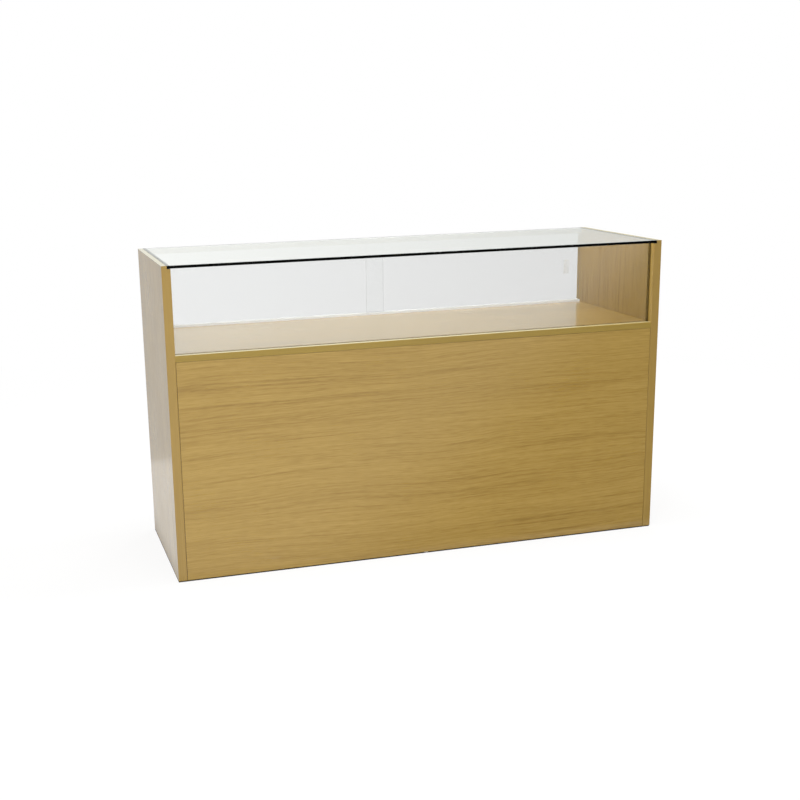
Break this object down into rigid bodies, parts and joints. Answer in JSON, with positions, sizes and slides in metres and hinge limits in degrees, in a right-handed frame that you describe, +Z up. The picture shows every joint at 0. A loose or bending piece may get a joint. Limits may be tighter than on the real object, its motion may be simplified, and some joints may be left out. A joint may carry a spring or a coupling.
{
  "type": "shop counter",
  "caption": "Shop counter with a glazed display case on top, bypass sliding glass doors and open shelved storage on the staff side, in oak laminate.",
  "frame": {"origin": "on the floor under the middle of the counter, at the centre of the bottom of its bounding box", "axes": "+Z up, +X along the counter's width with the customer's right at +X, +Y from the customer's side to the staff side"},
  "size_m": [1.5, 0.5, 0.9],
  "materials": {
    "oak_laminate": "satin oak-grain melamine",
    "edge_band": "satin oak-coloured edge band",
    "clear_glass": "clear float glass with polished edges",
    "clear_plastic": "clear extruded plastic",
    "white_plastic": "white extruded plastic, slightly milky",
    "zinc_fittings": "zinc plated",
    "cap_plastic": "matt oak-coloured plastic",
    "beech_dowel": "raw beech",
    "nylon": "white nylon",
    "clear_rubber": "translucent soft plastic",
    "dark_foam": "dark grey foam tape"
  },
  "bodies": {
    "carcass": {"side_panel_left": "oak_laminate", "side_panel_right": "oak_laminate", "front_panel": "oak_laminate", "display_floor": "oak_laminate", "bottom_panel": "oak_laminate", "centre_divider": "oak_laminate", "plinth_rail": "oak_laminate", "shelf_left": "oak_laminate", "shelf_right": "oak_laminate", "front_edge_band_left": "edge_band", "front_edge_band_right": "edge_band", "back_edge_band_left": "edge_band", "back_edge_band_right": "edge_band", "lip_band_left": "edge_band", "lip_band_right": "edge_band", "floor_edge_bands": "edge_band", "bottom_edge_band": "edge_band", "divider_edge_band": "edge_band", "shelf_edge_band_left": "edge_band", "shelf_edge_band_right": "edge_band", "top_glass": "clear_glass", "front_glass": "clear_glass", "track_bottom": "white_plastic", "track_top": "white_plastic", "front_glass_strip": "clear_plastic", "side_strips": "dark_foam", "cam_housings": "zinc_fittings", "cam_bolts": "zinc_fittings", "shelf_pins_left": "zinc_fittings", "shelf_pins_right": "zinc_fittings", "cam_caps": "cap_plastic", "dowels": "beech_dowel", "glides": "nylon", "track_bumpers": "clear_rubber"},
    "door_left": {"door_pane_left": "clear_glass", "door_shoes_left": "nylon"},
    "door_right": {"door_pane_right": "clear_glass", "door_shoes_right": "nylon"}
  },
  "joints": [
    {"name": "left_door_slide", "type": "slide", "parent": "carcass", "child": "door_left", "axis": [1, 0, 0], "range_m": [0, 0.6917]},
    {"name": "right_door_slide", "type": "slide", "parent": "carcass", "child": "door_right", "axis": [1, 0, 0], "range_m": [-0.6917, 0]}
  ]
}
